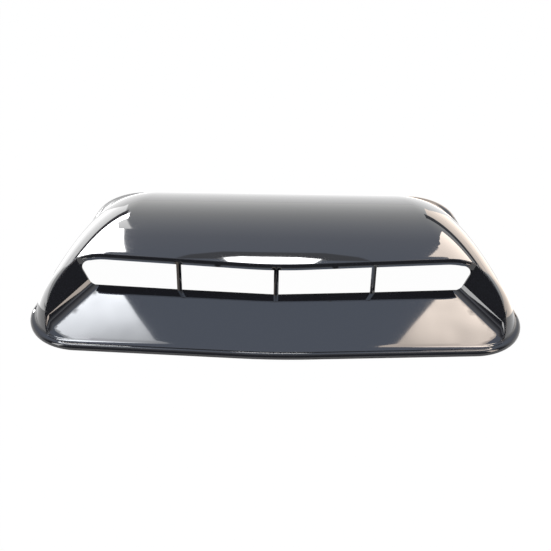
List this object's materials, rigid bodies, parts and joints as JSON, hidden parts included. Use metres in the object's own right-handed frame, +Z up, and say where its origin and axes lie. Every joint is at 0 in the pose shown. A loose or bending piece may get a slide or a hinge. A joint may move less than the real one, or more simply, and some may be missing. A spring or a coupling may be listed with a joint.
{
  "type": "car bonnet vent",
  "caption": "Domed gloss-black bonnet vent with a swept front mouth, a ramp rising to a row of windows under the lip, broad round shoulders and a flat flange all round.",
  "frame": {"origin": "centre of the footprint on the plane that the rim stands on", "axes": "+X across the bonnet, +Y towards the windscreen, +Z up from the bonnet; the mouth faces -Y"},
  "size_m": [0.758, 0.47, 0.108],
  "materials": {
    "gloss_black": "high gloss"
  },
  "bodies": {
    "root": {"vent_shell": "gloss_black"}
  },
  "joints": []
}
